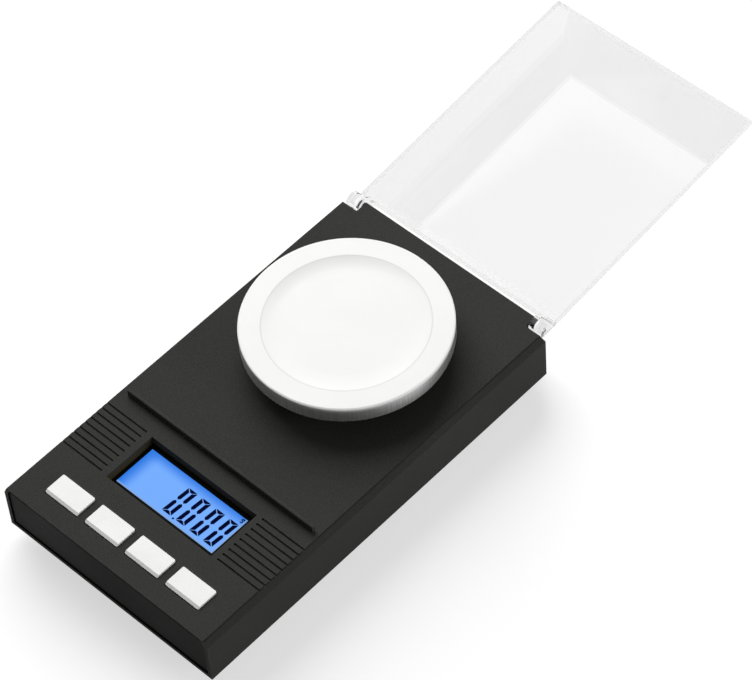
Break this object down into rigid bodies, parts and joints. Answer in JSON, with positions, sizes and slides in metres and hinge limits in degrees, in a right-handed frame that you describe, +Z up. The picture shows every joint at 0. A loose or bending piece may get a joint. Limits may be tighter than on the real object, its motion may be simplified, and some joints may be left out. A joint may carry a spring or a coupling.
{
  "type": "precision balance",
  "caption": "Flat black pocket balance with a round steel pan, a lit blue numeric display, a row of white buttons and a clear hinged wind cover folded open behind it.",
  "frame": {"origin": "middle of the flat underside of the case, between its side faces and halfway between the front face and the hinge tongue's top rear edge; the rubber feet reach below it", "axes": "+X to the user's right along the button row, +Y from the front face towards the cover's hinge, +Z up through the weighing pan"},
  "size_m": [0.0786, 0.2294, 0.0339],
  "materials": {
    "case_plastic": "fine satin moulded black plastic",
    "panel_plastic": "satin black plastic, a little darker than the case",
    "base_plastic": "fine spark-eroded black plastic",
    "clear_plastic": "clear polished plastic",
    "pan_steel": "bright brushed stainless steel",
    "support_plastic": "black glass-filled plastic",
    "button_plastic": "white satin plastic",
    "screw_steel": "bright zinc-plated steel",
    "foot_rubber": "matt black rubber",
    "board_green": "green solder mask over glass fibre",
    "chip_black": "black epoxy",
    "can_sleeve": "dark sleeve over a metal can",
    "switch_plastic": "black switch housing",
    "plunger_plastic": "red-brown switch plunger",
    "lcd_blue": "lit blue display glass",
    "film_blue": "lit blue film",
    "digit_ink": "dark blue display strokes",
    "guide_plastic": "milky light guide",
    "frame_plastic": "white holder",
    "mask_black": "black printed mask",
    "strip_rubber": "layered conductive rubber",
    "lamp": "clear lamp bodies",
    "cell_aluminium": "milled aluminium",
    "gauge_foil": "amber foil gauges",
    "contact_nickel": "nickel-plated spring steel",
    "battery_jacket": "plain printed jacket over steel",
    "lead_black": "black wire jacket",
    "lead_red": "red wire jacket",
    "lead_white": "white cable jacket",
    "label_film": "bare silver-grey label film"
  },
  "bodies": {
    "base": {"backlight_lamps": "lamp", "bare_label": "label_film", "battery_front": "battery_jacket", "battery_lead_minus": "lead_black", "battery_lead_plus": "lead_red", "battery_rear": "battery_jacket", "board_screws": "screw_steel", "capacitors": "can_sleeve", "case_screws": "screw_steel", "circuit_board": "board_green", "contact_link": "contact_nickel", "contact_minus": "contact_nickel", "contact_plus": "contact_nickel", "contact_spring_front": "contact_nickel", "contact_spring_rear": "contact_nickel", "contact_strip": "strip_rubber", "display_mask": "mask_black", "front_panel": "panel_plastic", "lcd_digits": "digit_ink", "lcd_frame": "frame_plastic", "lcd_glass": "lcd_blue", "lcd_light_guide": "guide_plastic", "lcd_polariser": "film_blue", "lcd_unit_mark": "digit_ink", "load_cell": "cell_aluminium", "load_cell_lead": "lead_white", "load_cell_screws": "screw_steel", "load_cell_spacer": "cell_aluminium", "lower_case": "base_plastic", "overload_stops": "screw_steel", "processor": "chip_black", "rubber_foot_1": "foot_rubber", "rubber_foot_2": "foot_rubber", "rubber_foot_3": "foot_rubber", "rubber_foot_4": "foot_rubber", "signal_converter": "chip_black", "strain_gauges": "gauge_foil", "switch_body_1": "switch_plastic", "switch_body_2": "switch_plastic", "switch_body_3": "switch_plastic", "switch_body_4": "switch_plastic", "upper_case": "case_plastic"},
    "cover": {"wind_cover": "clear_plastic"},
    "platform": {"load_arm": "cell_aluminium", "arm_screws": "screw_steel", "pan_support": "support_plastic", "support_screw": "screw_steel"},
    "pan": {"pan": "pan_steel"},
    "battery_door": {"battery_door": "base_plastic"},
    "button_1": {"button_cap_1": "button_plastic", "switch_plunger_1": "plunger_plastic"},
    "button_2": {"button_cap_2": "button_plastic", "switch_plunger_2": "plunger_plastic"},
    "button_3": {"button_cap_3": "button_plastic", "switch_plunger_3": "plunger_plastic"},
    "button_4": {"button_cap_4": "button_plastic", "switch_plunger_4": "plunger_plastic"}
  },
  "joints": [
    {"name": "cover_hinge", "type": "hinge", "parent": "base", "child": "cover", "pos_m": [0, 0.06862, 0.01877], "axis": [-1, 0, 0], "range_deg": [-173.28, 0]},
    {"name": "platform_travel", "type": "slide", "parent": "base", "child": "platform", "axis": [0, 0, -1], "range_m": [0, 0.0003], "stiffness_N_per_m": 4000, "springref_m": -0.0002, "deforming": ["load_cell"]},
    {"name": "pan_lift", "type": "slide", "parent": "platform", "child": "pan", "axis": [0, 0, 1], "range_m": [0, 0.03]},
    {"name": "button_1_press", "type": "slide", "parent": "base", "child": "button_1", "axis": [0, 0, -1], "range_m": [0, 0.0003], "stiffness_N_per_m": 1500, "springref_m": -0.0006},
    {"name": "button_2_press", "type": "slide", "parent": "base", "child": "button_2", "axis": [0, 0, -1], "range_m": [0, 0.0003], "stiffness_N_per_m": 1500, "springref_m": -0.0006},
    {"name": "button_3_press", "type": "slide", "parent": "base", "child": "button_3", "axis": [0, 0, -1], "range_m": [0, 0.0003], "stiffness_N_per_m": 1500, "springref_m": -0.0006},
    {"name": "button_4_press", "type": "slide", "parent": "base", "child": "button_4", "axis": [0, 0, -1], "range_m": [0, 0.0003], "stiffness_N_per_m": 1500, "springref_m": -0.0006},
    {"name": "battery_door_pull", "type": "slide", "parent": "base", "child": "battery_door", "axis": [0, 0, -1], "range_m": [0, 0.012]}
  ]
}
